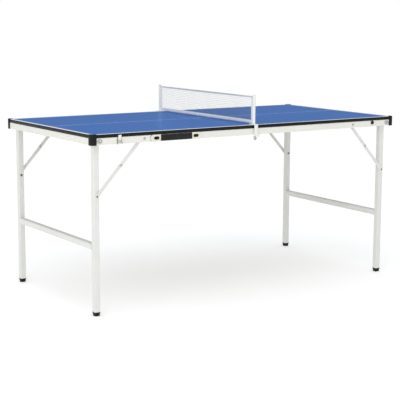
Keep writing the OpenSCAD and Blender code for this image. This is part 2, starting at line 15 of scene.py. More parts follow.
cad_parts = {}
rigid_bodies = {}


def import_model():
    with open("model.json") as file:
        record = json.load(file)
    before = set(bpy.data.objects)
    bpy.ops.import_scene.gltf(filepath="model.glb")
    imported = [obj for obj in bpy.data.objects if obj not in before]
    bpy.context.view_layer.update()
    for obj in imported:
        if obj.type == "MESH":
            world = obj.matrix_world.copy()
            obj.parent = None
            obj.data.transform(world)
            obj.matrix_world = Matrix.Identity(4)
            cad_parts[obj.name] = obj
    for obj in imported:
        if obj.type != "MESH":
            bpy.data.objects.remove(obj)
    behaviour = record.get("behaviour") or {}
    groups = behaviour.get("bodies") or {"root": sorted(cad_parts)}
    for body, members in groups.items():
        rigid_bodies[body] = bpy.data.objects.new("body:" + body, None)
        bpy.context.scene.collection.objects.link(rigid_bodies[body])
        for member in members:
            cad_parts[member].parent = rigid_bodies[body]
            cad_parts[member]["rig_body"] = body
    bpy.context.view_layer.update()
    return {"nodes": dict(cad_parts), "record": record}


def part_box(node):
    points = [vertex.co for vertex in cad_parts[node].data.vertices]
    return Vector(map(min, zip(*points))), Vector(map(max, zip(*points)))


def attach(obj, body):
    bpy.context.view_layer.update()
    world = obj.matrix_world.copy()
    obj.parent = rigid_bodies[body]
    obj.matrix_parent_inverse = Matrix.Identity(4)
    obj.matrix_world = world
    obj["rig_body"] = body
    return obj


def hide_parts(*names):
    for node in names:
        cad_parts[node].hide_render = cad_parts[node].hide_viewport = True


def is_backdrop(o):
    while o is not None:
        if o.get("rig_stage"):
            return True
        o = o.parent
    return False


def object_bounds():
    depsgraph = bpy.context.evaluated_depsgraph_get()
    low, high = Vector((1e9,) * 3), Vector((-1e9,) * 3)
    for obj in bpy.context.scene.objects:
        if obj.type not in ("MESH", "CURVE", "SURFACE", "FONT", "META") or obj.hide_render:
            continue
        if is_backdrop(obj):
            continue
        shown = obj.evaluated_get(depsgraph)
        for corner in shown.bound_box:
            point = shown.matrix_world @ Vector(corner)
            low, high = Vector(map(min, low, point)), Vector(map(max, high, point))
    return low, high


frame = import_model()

nodes = frame["nodes"]
SIDES = ("left", "right")
FACES = {"front": -1, "back": 1}  # each long side, and the way it looks along Y
MM = 0.001

# %% [markdown]
# The camera comes first. It stands in front of the left half, a little above the table, and looks through a
# long lens, which keeps the table's parallel edges nearly parallel. A camera looks along its own -Z axis, so
# we build its matrix from three directions: right, up and back.

# %% Camera
camera_place = Vector((-2.7811, -4.1678, 1.1769))
camera_azimuth = radians(-33.53)
camera_elevation = radians(9.43)
camera_roll = radians(0.26)

back = Vector((sin(camera_azimuth) * cos(camera_elevation), -cos(camera_azimuth) * cos(camera_elevation),
               sin(camera_elevation)))
level_right = (-back).cross(Vector((0, 0, 1))).normalized()
level_up = level_right.cross(-back)
right = cos(camera_roll) * level_right + sin(camera_roll) * level_up
up = cos(camera_roll) * level_up - sin(camera_roll) * level_right

camera_data = bpy.data.cameras.new("camera")
camera_data.lens = 103.455
camera_data.sensor_width = 36
camera_data.clip_end = 200
camera = bpy.data.objects.new("camera", camera_data)
camera.matrix_world = Matrix.Translation(camera_place) @ Matrix((right, up, back)).transposed().to_4x4()
bpy.context.scene.collection.objects.link(camera)
bpy.context.scene.camera = camera

# %% [markdown]
# A pale table on a pale floor needs soft light from all round, as in a white room. The world gives that even
# light: its ceiling is bright, its near left wall is pale and its far wall is dark grey, which gives metal
# something to reflect. A large softbox above gives the top its sheen, and two smaller ones light the left end
# and the front. The floor glows a little, so that it stays plain and pale right to the horizon.

# %% World, lights and floor
scene = bpy.context.scene
scene.view_settings.view_transform = "Standard"

world = bpy.data.worlds.new("white_room")
world.use_nodes = True
scene.world = world
sky = world.node_tree.nodes
room_light = sky["Background"]
room_light.inputs["Strength"].default_value = 1.0


def sky_node(kind, values, **settings):
    """Adds a node to the world, with some of its settings and its inputs' values."""
    made = sky.new("ShaderNode" + kind)
    for key, value in settings.items():
        setattr(made, key, value)
    for key, value in values.items():
        made.inputs[key].default_value = value
    return made


room, ray = sky_node("TexCoord", {}), sky_node("LightPath", {})
direction = sky_node("SeparateXYZ", {})
heights = sky_node("MapRange", {"From Min": 0.05, "From Max": 0.75})
away = sky_node("VectorMath", {1: (0.8, 0.6, 0)}, operation="DOT_PRODUCT")
front_to_back = sky_node("MapRange", {"From Min": -0.8, "From Max": 0.8})
near_wall, far_wall, ceiling = (0.60, 0.60, 0.59, 1), (0.17, 0.175, 0.18, 1), (0.90, 0.92, 0.95, 1)
wall_tones = sky_node("Mix", {"A": near_wall, "B": far_wall}, data_type="RGBA")
walls = sky_node("Mix", {"B": ceiling}, data_type="RGBA")
room_seen = sky_node("Background", {"Color": (1, 1, 1, 1)})
room_mix = sky_node("MixShader", {})
wire = world.node_tree.links.new
wire(room.outputs["Generated"], direction.inputs[0])
wire(room.outputs["Generated"], away.inputs[0])
wire(away.outputs["Value"], front_to_back.inputs["Value"])
wire(front_to_back.outputs[0], wall_tones.inputs["Factor"])
wire(wall_tones.outputs["Result"], walls.inputs["A"])
wire(direction.outputs["Z"], heights.inputs["Value"])
wire(heights.outputs[0], walls.inputs["Factor"])
wire(walls.outputs["Result"], room_light.inputs["Color"])
wire(ray.outputs["Is Camera Ray"], room_mix.inputs["Fac"])
wire(room_light.outputs[0], room_mix.inputs[1])
wire(room_seen.outputs[0], room_mix.inputs[2])
wire(room_mix.outputs[0], sky["World Output"].inputs["Surface"])


def softbox(name, place, target, size, watts):
    data = bpy.data.lights.new(name, "AREA")
    data.shape = "RECTANGLE"
    data.size, data.size_y = size
    data.energy = watts
    lamp = bpy.data.objects.new(name, data)
    lamp.location = place
    lamp.rotation_euler = (Vector(target) - Vector(place)).to_track_quat("-Z", "Y").to_euler()
    scene.collection.objects.link(lamp)


softbox("softbox_above", (-1.4, -1.6, 3.2), (0, 0, 0.7), (2.6, 2.0), 16)
softbox("softbox_left", (-3.6, -0.6, 1.4), (0, 0, 0.6), (1.6, 2.2), 3)
softbox("softbox_front", (-2.8, -2.6, 1.5), (0, 0, 0.75), (1.4, 1.4), 11)

floor_bm = bmesh.new()
bmesh.ops.create_circle(floor_bm, cap_ends=True, segments=96, radius=60)
floor_mesh = bpy.data.meshes.new("floor")
floor_bm.to_mesh(floor_mesh)
floor = bpy.data.objects.new("floor", floor_mesh)
scene.collection.objects.link(floor)
floor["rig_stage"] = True

# %% [markdown]
# Every finish below is a small node tree. These helpers keep each one short: `Finish` starts a material with
# a Principled shader, `grain` and `cells` make patterns at a real size in millimetres, `span` picks a part of
# a pattern's range, `mix` turns it into colours, `uneven` varies the gloss, and `bumps` turns heights into
# surface relief. Patterns read Object coordinates: every piece sits at the origin with its place in its mesh,
# so one pattern runs on unbroken from piece to piece.

# %% Material helpers
def srgb(text):
    parts = [int(text[i:i + 2], 16) / 255 for i in (0, 2, 4)]
    return tuple(p / 12.92 if p <= 0.04045 else ((p + 0.055) / 1.055) ** 2.4 for p in parts) + (1,)


class Finish:
    """A material under construction: its tree, its Principled shader and its Object coordinates."""

    def __init__(self, name, roughness=0.5, metallic=0.0, specular=0.5, coat=0.0, sheen=0.0):
        self.material = bpy.data.materials.new(name)
        self.material.use_nodes = True
        self.tree = self.material.node_tree
        self.shader = self.tree.nodes["Principled BSDF"]
        self.shader.inputs["Roughness"].default_value = roughness
        self.shader.inputs["Metallic"].default_value = metallic
        self.shader.inputs["Specular IOR Level"].default_value = specular
        self.shader.inputs["Coat Weight"].default_value = coat
        self.shader.inputs["Sheen Weight"].default_value = sheen
        self.place = self.node("ShaderNodeTexCoord").outputs["Object"]
        self.last_bump = None

    def node(self, kind, **settings):
        made = self.tree.nodes.new(kind)
        for key, value in settings.items():
            setattr(made, key, value)
        return made

    def feed(self, socket, value):
        """Links an output, or sets a plain value."""
        if isinstance(value, bpy.types.NodeSocket):
            self.tree.links.new(value, socket)
        else:
            socket.default_value = value

    def math(self, operation, a, b=0.0):
        made = self.node("ShaderNodeMath", operation=operation)
        self.feed(made.inputs[0], a)
        self.feed(made.inputs[1], b)
        return made.outputs[0]

    def stretched(self, scale):
        made = self.node("ShaderNodeMapping")
        self.feed(made.inputs["Vector"], self.place)
        made.inputs["Scale"].default_value = scale
        return made.outputs[0]

    def grain(self, size_mm, detail=2.0, rough=0.5, stretch=None):
        made = self.node("ShaderNodeTexNoise")
        made.inputs["Scale"].default_value = 1 / (size_mm * MM)
        made.inputs["Detail"].default_value = detail
        made.inputs["Roughness"].default_value = rough
        self.feed(made.inputs["Vector"], self.stretched(stretch) if stretch else self.place)
        return made.outputs["Fac"]

    def cells(self, size_mm):
        made = self.node("ShaderNodeTexVoronoi")
        made.inputs["Scale"].default_value = 1 / (size_mm * MM)
        self.feed(made.inputs["Vector"], self.place)
        return made.outputs["Distance"]

    def span(self, value, low, high, to_low=0.0, to_high=1.0):
        made = self.node("ShaderNodeMapRange", interpolation_type="SMOOTHSTEP")
        self.feed(made.inputs["Value"], value)
        for key, number in (("From Min", low), ("From Max", high), ("To Min", to_low), ("To Max", to_high)):
            made.inputs[key].default_value = number
        return made.outputs[0]

    def mix(self, share, a, b):
        made = self.node("ShaderNodeMix", data_type="RGBA")
        self.feed(made.inputs["Factor"], share)
        self.feed(made.inputs["A"], a)
        self.feed(made.inputs["B"], b)
        return made.outputs["Result"]

    def axes(self):
        made = self.node("ShaderNodeSeparateXYZ")
        self.feed(made.inputs[0], self.place)
        return made.outputs

    def colour(self, value):
        self.feed(self.shader.inputs["Base Color"], value)

    def uneven(self, value, low, high):
        """Roughness from low to high, as a pattern goes from 0.3 to 0.7."""
        self.feed(self.shader.inputs["Roughness"], self.span(value, 0.3, 0.7, low, high))

    def bumps(self, height, depth_mm, strength=1.0):
        """Adds relief of that depth, on top of any made before."""
        made = self.node("ShaderNodeBump")
        made.inputs["Strength"].default_value = strength
        made.inputs["Distance"].default_value = depth_mm * MM
        self.feed(made.inputs["Height"], height)
        if self.last_bump:
            self.feed(made.inputs["Normal"], self.last_bump)
        self.last_bump = made.outputs[0]
        self.feed(self.shader.inputs["Normal"], self.last_bump)


# %% Floor finish
floor_finish = Finish("pale_floor", roughness=0.9)
floor_finish.colour(floor_finish.mix(floor_finish.grain(900), srgb("f4f4f3"), srgb("fbfbfa")))
floor_finish.shader.inputs["Emission Color"].default_value = (1, 1, 1, 1)
floor_finish.shader.inputs["Emission Strength"].default_value = 0.27
floor_finish.bumps(floor_finish.grain(3), 0.2, 0.2)
floor_mesh.materials.append(floor_finish.material)

# %% [markdown]
# The playing surface is fibreboard with a rolled coat of blue. Its white border and the thin centre line are
# painted too, so they are part of the material: a mask by distance from the board's edge, with a slightly
# soft rim where the brush or stencil lifted. The coat has a fine orange peel, a faint cloudiness and a few
# hair scratches from play. The underside is bare fibreboard, which the mask by height brings out.

# %% Playing surface
board_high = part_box("right_board")[1]
border_w = 15 * MM
centre_line_w = 3.5 * MM


def painted_board(name):
    f = Finish(name, roughness=0.36, specular=0.12)
    x, y, z = f.axes()
    line_blur, most_wander = 0.35 * MM, 0.5 * MM
    wander = f.math("MULTIPLY", f.math("SUBTRACT", f.grain(6), 0.5), most_wander)
    across = f.math("ADD", f.math("ABSOLUTE", y), wander)
    along = f.math("ADD", f.math("ABSOLUTE", x), wander)
    side_line = f.span(across, board_high.y - border_w - line_blur, board_high.y - border_w + line_blur)
    end_line = f.span(along, board_high.x - border_w - line_blur, board_high.x - border_w + line_blur)
    centre_line = f.span(across, centre_line_w / 2 - line_blur, centre_line_w / 2 + line_blur, 0.85, 0.0)
    lines = f.math("MAXIMUM", f.math("MAXIMUM", side_line, end_line), centre_line)
    cloudy = f.mix(f.grain(190, 3), srgb("2463b3"), srgb("2b6cba"))
    rolled = f.mix(f.span(f.grain(2.2, 4, 0.6, (1, 0.35, 1)), 0.35, 0.7, 0.0, 0.35), cloudy, srgb("3071c2"))
    scratch = f.span(f.grain(1.1, 1, 0.5, (1, 0.012, 1)), 0.72, 0.76, 0.0, 0.16)
    painted = f.mix(lines, f.mix(scratch, rolled, srgb("6f94d2")), srgb("f3f5f8"))
    fibres = f.mix(f.grain(1.4, 5, 0.7, (1, 0.4, 1)), srgb("6f6353"), srgb("8c806e"))
    flakes = f.mix(f.span(f.cells(2.6), 0.1, 0.5, 0.4, 0.0), fibres, srgb("594d3e"))
    coat_z, coat_blur = board_high.z - 0.5 * MM, 0.1 * MM
    f.colour(f.mix(f.span(z, coat_z - coat_blur, coat_z + coat_blur), flakes, painted))
    f.uneven(f.grain(9, 3), 0.34, 0.46)
    f.bumps(f.grain(2.4, 2, 0.5), 0.05, 0.35)
    f.bumps(f.grain(0.5, 2, 0.6), 0.03, 0.3)
    return f.material


# %% [markdown]
# The steel tubes are powder coated. Powder melts into a skin with a fine orange peel and slightly uneven
# gloss, so the same recipe serves the rails, the legs and the posts, each with its own white. The tone drifts
# a little over hand widths, and a few faint specks sit in it.

# %% Powder coat and moulded plastic
def powder_coat(name, pale, deep, gloss=(0.34, 0.46), peel_mm=1.6):
    f = Finish(name, specular=0.5)
    tone = f.mix(f.grain(70, 3), srgb(deep), srgb(pale))
    speck = f.span(f.grain(0.9, 1), 0.7, 0.8, 0.0, 0.25)
    f.colour(f.mix(speck, tone, srgb(deep)))
    f.uneven(f.grain(14, 3), *gloss)
    f.bumps(f.grain(peel_mm, 2, 0.45), 0.06, 0.45)
    f.bumps(f.grain(0.35, 1), 0.02, 0.25)
    return f.material


def moulded(name, main, worn, gloss, grain_mm, depth_mm, leather=False):
    """Moulded plastic: spark-eroded grain, or the cell pattern of a leather grain, and a gloss that wears."""
    f = Finish(name, specular=0.25)
    f.colour(f.mix(f.span(f.grain(22, 4, 0.6), 0.45, 0.75, 0.0, 0.6), srgb(main), srgb(worn)))
    f.uneven(f.grain(18, 3), *gloss)
    f.bumps(f.cells(grain_mm) if leather else f.grain(grain_mm, 2), depth_mm, 0.6)
    f.bumps(f.grain(grain_mm * 0.3, 1), depth_mm * 0.4, 0.4)
    return f.material


# %% [markdown]
# Bright metal is told apart by its reflections. Zinc plate is soft and slightly mottled, so its roughness and
# tint follow a patchy noise. Polished spring steel is nearly a mirror with fine lengthwise polishing lines.

# %% Metals
def zinc_plate(name, main, patch, gloss):
    f = Finish(name, metallic=1.0)
    f.colour(f.mix(f.span(f.cells(1.3), 0.1, 0.7), srgb(main), srgb(patch)))
    f.uneven(f.grain(2.5, 3), *gloss)
    f.bumps(f.grain(0.3, 2), 0.02, 0.4)
    return f.material


def polished_steel(name):
    """Plated strip: bright on its face, with painted shade in olive along its side edges."""
    f = Finish(name, metallic=0.8, coat=0.2)
    lines = f.grain(0.35, 3, 0.6, (1, 1, 0.03))
    plate_low, plate_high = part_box("latch_plate")
    from_middle = f.math("ABSOLUTE", f.math("SUBTRACT", f.axes()[0], (plate_low.x + plate_high.x) / 2))
    half_plate = (plate_high.x - plate_low.x) / 2
    # Painted shade: the strip's side edges darken to olive.
    edge = f.span(from_middle, half_plate - 2.2 * MM, half_plate - 1.2 * MM)
    f.colour(f.mix(edge, f.mix(lines, srgb("e2e3df"), srgb("f6f6f3")), srgb("6e6d5a")))
    f.uneven(f.grain(6, 3), 0.14, 0.26)
    f.bumps(lines, 0.01, 0.3)
    return f.material


# %% [markdown]
# Rubber feet are matt black, with a scuffed, dusty rim close to the floor. The net's tapes are woven: two
# crossing sine waves give the over-and-under of the threads, and sheen gives the soft edge that cloth has.
# The knitted threads only need a twisted look, so a stretched noise stands for their plies.

# %% Rubber and cloth
def rubber(name):
    f = Finish(name, specular=0.3)
    z = f.axes()[2]
    dust = f.math("MULTIPLY", f.span(z, 0.5 * MM, 6 * MM, 0.5, 0.0), f.grain(3, 4))
    f.colour(f.mix(dust, srgb("17181a"), srgb("55544f")))
    f.uneven(f.grain(5), 0.6, 0.85)
    f.bumps(f.grain(0.8, 3), 0.05, 0.5)
    return f.material


def woven(name, light, shade, pitch_mm=0.9):
    f = Finish(name, roughness=0.85, specular=0.2, sheen=0.35)
    _, y, z = f.axes()
    turns = 2 * pi / (pitch_mm * MM)
    warp = f.math("SINE", f.math("MULTIPLY", y, turns))
    weft = f.math("SINE", f.math("MULTIPLY", z, turns))
    over = f.math("MULTIPLY", warp, weft)
    slub = f.grain(3, 3, 0.6, (1, 0.2, 1))
    tone = f.mix(f.span(over, -0.9, 0.9, 0.0, 0.8), srgb(shade), srgb(light))
    f.colour(f.mix(f.span(slub, 0.5, 0.8, 0.0, 0.3), tone, srgb(shade)))
    f.bumps(over, 0.12, 0.6)
    f.bumps(f.grain(0.4, 2), 0.05, 0.5)
    return f.material


def twisted_thread(name, light, shade):
    f = Finish(name, roughness=0.7, specular=0.25, sheen=0.2)
    plies = f.grain(0.6, 2, 0.5, (1, 0.5, 1))
    f.colour(f.mix(f.span(plies, 0.35, 0.65), srgb(shade), srgb(light)))
    f.bumps(plies, 0.06, 0.6)
    return f.material


def bracket_plastic(name):
    """Cream plastic, with painted shade in olive on its sides, where the rail's shade falls."""
    f = Finish(name, specular=0.45)
    y = f.axes()[1]
    face = -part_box("handle_brackets")[0].y
    # Painted shade: the sides darken to olive away from the front face, towards the rail.
    depth = f.span(f.math("MULTIPLY", y, -1.0), face - 1.6 * MM, face - 0.5 * MM)
    f.colour(f.mix(depth, srgb("8c8b76"), f.mix(f.grain(20, 3), srgb("ecead9"), srgb("e0decb"))))
    f.uneven(f.grain(18, 3), 0.25, 0.38)
    f.bumps(f.grain(1.6, 2), 0.03, 0.5)
    return f.material


recipes = (
    ("playing_surface", painted_board),
    ("edge_band", moulded, "0a0b0c", "17181a", (0.32, 0.5), 1.4, 0.03),
    ("rail_paint", powder_coat, "edece4", "e5e4da"),
    ("corner_cap", moulded, "0e0f0e", "1a1b1a", (0.42, 0.6), 0.9, 0.05),
    ("fasteners", zinc_plate, "d9d9d4", "bfbfb8", (0.3, 0.5)),
    ("dark_zinc", zinc_plate, "8a8a84", "6a6a64", (0.3, 0.5)),
    ("black_screw", zinc_plate, "2b2a27", "1c1b19", (0.4, 0.6)),
    ("leg_paint", powder_coat, "e8e8e4", "e0e0db"),
    ("foot_rubber", rubber),
    ("hasp_chrome", polished_steel),
    ("strike_plastic", moulded, "232326", "3a3a3d", (0.3, 0.45), 1.2, 0.03),
    ("bracket_plastic", bracket_plastic),
    ("grip_plastic", moulded, "1d1d1c", "2c2c2b", (0.42, 0.58), 1.1, 0.12, True),
    ("tape_cloth", woven, "fdfcf9", "efeeec"),
    ("top_tape_cloth", woven, "f0ede7", "d9d6d0"),
    ("net_thread", twisted_thread, "838486", "66676a"),
    ("sewing_thread", twisted_thread, "e8ebf2", "c4cad6"),
    ("post_paint", powder_coat, "f2f2ef", "e9e9e5", (0.28, 0.4)),
)
finishes = {name: recipe(name, *values) for name, recipe, *values in recipes}
print("finishes:", len(finishes))

# %% [markdown]
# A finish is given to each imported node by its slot. The nodes whose shape is already right, such as the
# boards, the rolled tubes of the rails and legs, and the crossbars, keep their own mesh and only change
# material.

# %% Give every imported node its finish
slot_of = {row["node"]: row["material_slot"] for row in frame["record"]["subparts"]}
slot_finish = dict(finishes, net_cloth=finishes["tape_cloth"], net_steel=finishes["post_paint"])
for node_name, node in nodes.items():
    node.data.materials.clear()
    node.data.materials.append(slot_finish[slot_of[node_name]])
print("packed nodes finished:", len(slot_of))


# %% [markdown]
# Real parts have no knife edges. A pressed strip has a rolled rim, a moulded cap has a radius, and light
# catches on both. `softened` takes a merged copy of a node's mesh, joins its flat triangles back into whole
# faces and bevels every sharp edge. The copy then stands in for the node.

# %% Helpers that make pieces
def add_piece(name, bm, body, slot, finish=None, replaces=(), sharp_angle=40, closed=True):
    """Makes an object of a bmesh, smooths it up to an angle, and hangs it on its body."""
    mesh = bpy.data.meshes.new(name)
    if closed:
        bmesh.ops.recalc_face_normals(bm, faces=bm.faces)
    for face in bm.faces:
        face.smooth = True
    bm.to_mesh(mesh)
    bm.free()
    mesh.set_sharp_from_angle(angle=radians(sharp_angle))
    mesh.materials.append(finish or slot_finish[slot])
    piece = bpy.data.objects.new(name, mesh)
    scene.collection.objects.link(piece)
    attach(piece, body)
    if replaces:
        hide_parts(*replaces)
    return piece


same_place, flat_angle, sharp_angle_from = 0.005 * MM, radians(0.6), radians(28)


def merged_copy(node_name):
    bm = bmesh.new()
    bm.from_mesh(nodes[node_name].data)
    bmesh.ops.remove_doubles(bm, verts=bm.verts, dist=same_place)
    bmesh.ops.dissolve_limit(bm, angle_limit=flat_angle, verts=bm.verts, edges=bm.edges)
    return bm


def sharp_edges(bm):
    return [e for e in bm.edges if len(e.link_faces) == 2 and e.calc_face_angle() > sharp_angle_from]


def round_off(bm, edges, radius, segments):
    """Bevels edges to a radius in metres, as far as their faces leave room."""
    bmesh.ops.bevel(bm, geom=edges, offset=radius, offset_type="OFFSET", affect="EDGES", segments=segments,
                    profile=0.5, material=-1, clamp_overlap=True)


def softened(name, node_name, radius_mm, segments=3, keep=None):
    """A node's shape with its sharp edges rounded. keep picks the edges to round, if not all."""
    bm = merged_copy(node_name)
    edges = [e for e in sharp_edges(bm) if keep is None or keep(e)]
    round_off(bm, edges, radius_mm * MM, segments)
    faces = len(bm.faces)
    add_piece(name, bm, nodes[node_name]["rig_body"], slot_of[node_name], replaces=[node_name])
    print(f"{name}: {len(edges)} edges rounded at {radius_mm} mm, {faces} faces")


# %% Edge bands and corner caps
for side in SIDES:
    softened(f"{side}_band", f"{side}_edge_band", 0.7)
    softened(f"{side}_caps", f"{side}_corner_caps", 0.9)

# %% [markdown]
# The stays are punched from strip, so they get a small rolled rim, and the hinge leaves and the latch's plate
# too. The feet are moulded with fuller edges.

# %% Stays, hinge leaves, latch plate and feet
for side in SIDES:
    softened(f"{side}_rubber_feet", f"{side}_feet", 0.8)
    softened(f"{side}_leaves", f"{side}_hinge_leaves", 0.25, 2)
    for face in FACES:
        for bar in ("upper", "lower"):
            softened(f"{side}_{face}_{bar}_bar", f"{side}_{face}_{bar}_stay", 0.45, 2)
softened("latch_back_plate", "latch_plate", 0.3, 2)
softened("hasp_strip", "latch_hasp", 0.35)
softened("pins_of_hinges", "hinge_pins", 0.5)

# %% Handle and clamps
rail_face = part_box("left_front_rail")[0].y
softened("bracket_shells", "handle_brackets", 1.0, 4)
softened("grip_bar", "handle_grip", 0.8, keep=lambda e: max(v.co.y for v in e.verts) < rail_face)
softened("clamp_straps", "net_clamps", 0.9)
for face in FACES:
    softened(f"{face}_pad", f"{face}_clamp_pad", 0.5)

# %% [markdown]
# Rivets, bolts and screws are turned parts. Each is a profile, drawn as radius and distance along its axis,
# that is spun once round. `turned` puts the same part at several places at once, so identical fasteners share
# a mesh.

# %% Turned parts
def facing(point, direction):
    """Matrix that moves to a point and turns the Z axis to a direction."""
    return Matrix.Translation(point) @ Vector(direction).to_track_quat("Z", "Y").to_matrix().to_4x4()


def spun(bm, profile, turn, steps):
    """Spins a profile of (radius, along) pairs in millimetres round an axis, then places it with a matrix."""
    before = set(bm.verts)
    points = [bm.verts.new((r * MM, 0, a * MM)) for r, a in profile]
    edges = [bm.edges.new(pair) for pair in zip(points, points[1:])]
    bmesh.ops.spin(bm, geom=points + edges, cent=(0, 0, 0), axis=(0, 0, 1), angle=2 * pi, steps=steps,
                   use_merge=True)
    bmesh.ops.transform(bm, matrix=turn, verts=[v for v in bm.verts if v not in before])


def turned(name, profile, places, body, slot, finish=None, replaces=(), steps=32):
    """places are pairs of a point in metres and the direction that the profile's axis takes there."""
    bm = bmesh.new()
    for point, direction in places:
        spun(bm, profile, facing(point, direction), steps)
    bmesh.ops.remove_doubles(bm, verts=bm.verts, dist=0.002 * MM)
    piece = add_piece(name, bm, body, slot, finish, replaces)
    print(f"{name}: {len(places)} places, {len(piece.data.polygons)} faces")


def arc(cx, ca, radius, start, end, steps=6):
    """Points on a profile's arc, as (radius, along) pairs, from one angle to another in degrees."""
    angles = [radians(start + (end - start) * i / steps) for i in range(steps + 1)]
    return [(cx + radius * cos(t), ca + radius * sin(t)) for t in angles]


# %% [markdown]
# The leg pivots show a broad flanged head with a raised ring and a dished middle. Inside, each bolt runs
# through a spacer and the leg to its nut. The head, shank and spacer are turned; the nut is a six-sided disc
# with its corners bevelled away, as nuts are.

# %% Leg pivot bolts
leg_low, leg_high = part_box("right_back_leg")
bolt_low, bolt_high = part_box("right_pivot_bolts")
rail_low, rail_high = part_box("right_back_rail")
rail_inner, rail_outer = rail_low.y / MM, rail_high.y / MM
leg_inner = leg_low.y / MM
leg_outer = leg_inner + (leg_high.x - leg_low.x) / MM
bolt_head = bolt_high.y / MM
head_r = (bolt_high.x - bolt_low.x) / 2 / MM
bolt_r, tip_cut = 4, 0.8
rim_t, rim_round, dish_t = 0.6, 1.6, 1.2
nut_t, nut_gap, bolt_end = 6.5, 0.5, 1

tip = leg_inner - nut_gap - nut_t - bolt_end
pivot_profile = [(0.0, tip), (bolt_r - tip_cut, tip), (bolt_r, tip + tip_cut), (bolt_r, rail_outer),
                 (head_r, rail_outer), (head_r, rail_outer + rim_t)]
pivot_profile += arc(head_r - rim_round, bolt_head - rim_round, rim_round, 0, 90)
pivot_profile += [(head_r - 3.0, bolt_head - 0.5), (head_r - 3.6, bolt_head - 1.0), (2.2, bolt_head - dish_t),
                  (0.0, bolt_head - dish_t)]

spacer_r, spacer_bore, spacer_cut = bolt_r + 3.5, bolt_r + 0.05, 0.4
spacer_in = leg_outer + 0.4
spacer_profile = [(spacer_bore, spacer_in), (spacer_r - spacer_cut, spacer_in),
                  (spacer_r, spacer_in + spacer_cut), (spacer_r, rail_inner - spacer_cut),
                  (spacer_r - spacer_cut, rail_inner), (spacer_bore, rail_inner), (spacer_bore, spacer_in)]


def side_places(node_name):
    """Centre of a fastener pair in X and Z, on both long sides, each with its outward direction."""
    low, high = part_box(node_name)
    x, z = (low.x + high.x) / 2, (low.z + high.z) / 2
    return [(Vector((x, 0, z)), (0, s, 0)) for s in (-1, 1)]


def hex_nut(bm, place, direction, along_mm, thick_mm, across_r_mm):
    made = bmesh.ops.create_cone(bm, cap_ends=True, segments=6, radius1=across_r_mm * MM,
                                 radius2=across_r_mm * MM, depth=thick_mm * MM)
    faces = list({f for v in made["verts"] for f in v.link_faces})
    edges = list({e for f in faces for e in f.edges})
    move = facing(place, direction) @ Matrix.Translation((0, 0, (along_mm + thick_mm / 2) * MM))
    bmesh.ops.transform(bm, matrix=move, verts=made["verts"])
    round_off(bm, edges, 0.6 * MM, 2)


for side in SIDES:
    places = side_places(f"{side}_pivot_bolts")
    turned(f"{side}_bolts", pivot_profile, places, f"{side}_half", "fasteners",
           replaces=[f"{side}_pivot_bolts"])
    turned(f"{side}_spacers", spacer_profile, places, f"{side}_half", "fasteners")
    nut_bm = bmesh.new()
    for place, direction in places:
        hex_nut(nut_bm, place, direction, leg_inner - nut_gap - nut_t, nut_t, bolt_r * 1.85)
    add_piece(f"{side}_nuts", nut_bm, f"{side}_half", "fasteners")

# %% [markdown]
# The stays hang on shouldered rivets in the rails, and meet on a middle rivet with a domed head on each side.
# A pressed rivet's dome has a small dimple where its mandrel broke off.

# %% Rivets of the stays
def domed_head(base, height, radius, dimple=1.0):
    """Profile of a dome that stands on `base` and points along the axis, with a dimple in its top."""
    top = base + height
    return [(radius, base), (radius, base + height * 0.3), (radius * 0.88, base + height * 0.68),
            (radius * 0.62, base + height * 0.93), (radius * 0.36, top), (dimple, top),
            (dimple * 0.8, top - 0.5), (0.0, top - 0.6)]


rivet_low, rivet_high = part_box("right_rail_rivets")
rail_rivet_r = (rivet_high.x - rivet_low.x) / 2 / MM
upper_low, upper_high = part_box("right_back_upper_stay")
stay_inner, stay_outer = upper_low.y / MM, upper_high.y / MM
rivet_shank_r, shoulder_cut = 3, 0.3
shoulder = stay_outer + 0.2
profile = [(0.0, stay_inner), (rivet_shank_r, stay_inner), (rivet_shank_r, shoulder),
           (rail_rivet_r - shoulder_cut, shoulder), (rail_rivet_r, shoulder + shoulder_cut),
           (rail_rivet_r, rail_inner), (rivet_shank_r, rail_inner), (rivet_shank_r, rail_outer)]
profile += domed_head(rail_outer, rivet_high.y / MM - rail_outer, rail_rivet_r)
for side in SIDES:
    turned(f"{side}_rivets", profile, side_places(f"{side}_rail_rivets"), f"{side}_half", "fasteners",
           replaces=[f"{side}_rail_rivets"])

pin, pin_play = 2.5, 0.1
lower_in, lower_out = stay_inner - 2.6, stay_inner - 0.4
for side in SIDES:
    for face, sign in FACES.items():
        node_name = f"{side}_{face}_stay_rivet"
        low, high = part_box(node_name)
        x, z = (low.x + high.x) / 2, (low.z + high.z) / 2
        outer = max(abs(low.y), abs(high.y)) / MM
        inner = min(abs(low.y), abs(high.y)) / MM
        radius = (high.x - low.x) / 2 / MM
        profile = [(0.0, inner + 0.2), (1.0, inner + 0.1), (radius * 0.7, inner), (radius, inner + 0.5),
                   (radius, lower_in - pin_play), (pin, lower_in - pin_play), (pin, lower_out + pin_play),
                   (radius, lower_out + pin_play), (radius, stay_inner), (pin, stay_inner), (pin, stay_outer)]
        profile += domed_head(stay_outer, outer - stay_outer, radius, 0.9)
        turned(f"{side}_{face}_middle_rivet", profile, [(Vector((x, 0, z)), (0, sign, 0))],
               nodes[node_name]["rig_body"], "fasteners", replaces=[node_name])

# %% [markdown]
# At its lower end each stay turns on a rivet in the leg. Its head stands on the bar, and we cap it with a
# turned zinc dome, a fraction larger than the head below it.

